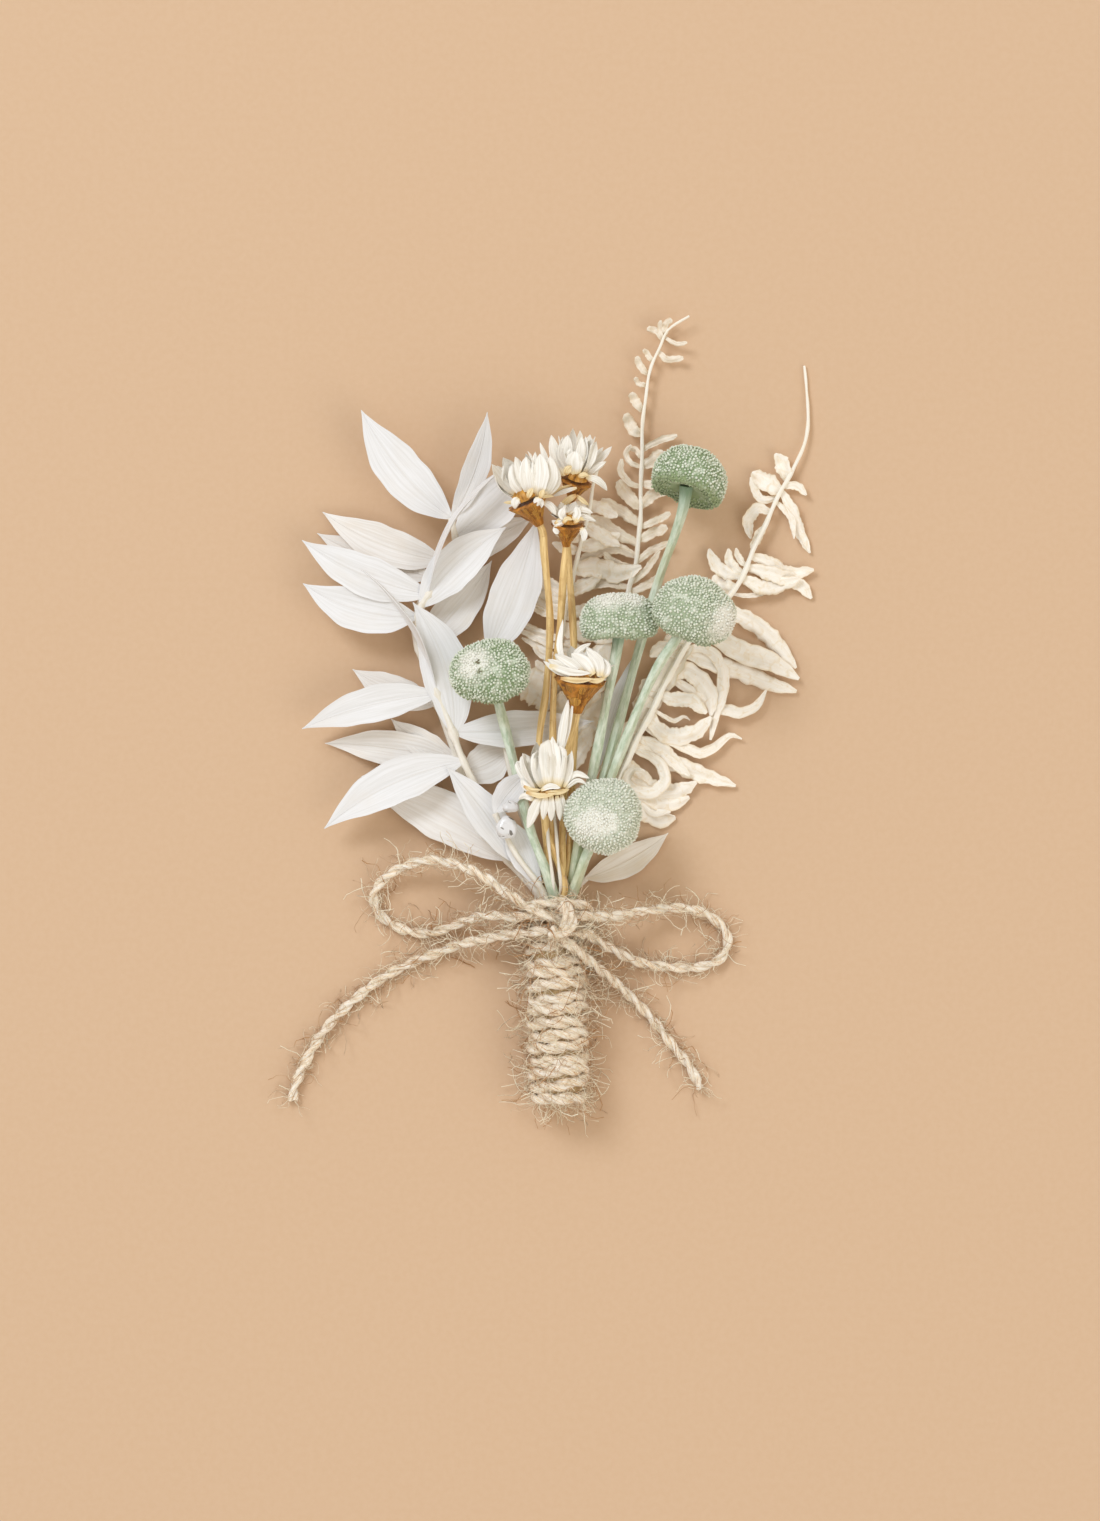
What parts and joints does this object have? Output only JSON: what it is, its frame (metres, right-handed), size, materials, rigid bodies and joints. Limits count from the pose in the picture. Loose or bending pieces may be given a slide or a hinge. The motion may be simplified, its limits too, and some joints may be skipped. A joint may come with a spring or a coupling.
{
  "type": "dried flower boutonniere",
  "caption": "Buttonhole bunch of bleached ruscus and fern, sage button flowers and small white everlasting daisies, its stems wound with twine and tied in a bow.",
  "frame": {"origin": "middle of the length and width of the bunch without the bow's loops and tails, on the table", "axes": "+Y from the cut stem ends to the leaf tips, +X to the right seen from the front, +Z out of the front, up from the table it lies on"},
  "size_m": [0.0959, 0.1426, 0.0235],
  "materials": {
    "bleached_leaf": "dry, satin",
    "shaded_leaf": "dry, satin",
    "bleached_fern": "dry, papery",
    "sage_head": "woolly, matt",
    "sage_stem": "dyed, matt",
    "white_bract": "dry, silky",
    "amber_cup": "dry, satin",
    "jute": "twisted, fuzzy",
    "set_glue": "clear, glossy"
  },
  "bodies": {
    "root": {"ruscus_spray_front": "bleached_leaf", "ruscus_spray_back": "shaded_leaf", "ruscus_sprig_middle": "bleached_leaf", "ruscus_sprig_low": "bleached_leaf", "ruscus_sprig_narrow": "bleached_leaf", "ruscus_leaf_right": "shaded_leaf", "fern_frond_left": "bleached_fern", "fern_frond_middle": "bleached_fern", "fern_frond_right": "bleached_fern", "button_head_1": "sage_head", "button_stem_1": "sage_stem", "button_head_2": "sage_head", "button_stem_2": "sage_stem", "button_head_3": "sage_head", "button_stem_3": "sage_stem", "button_head_4": "sage_head", "button_stem_4": "sage_stem", "button_head_5": "sage_head", "button_stem_5": "sage_stem", "daisy_bracts_1": "white_bract", "daisy_cup_1": "amber_cup", "daisy_bracts_2": "white_bract", "daisy_cup_2": "amber_cup", "daisy_bracts_3": "white_bract", "daisy_cup_3": "amber_cup", "daisy_bracts_4": "white_bract", "daisy_cup_4": "amber_cup", "daisy_bracts_5": "white_bract", "daisy_cup_5": "amber_cup", "twine_wrap": "jute", "bow_knot": "jute", "bow_loop_left": "jute", "bow_loop_right": "jute", "bow_tail_left": "jute", "bow_tail_right": "jute", "glue_drop_upper": "set_glue", "glue_drop_lower": "set_glue"}
  },
  "joints": []
}
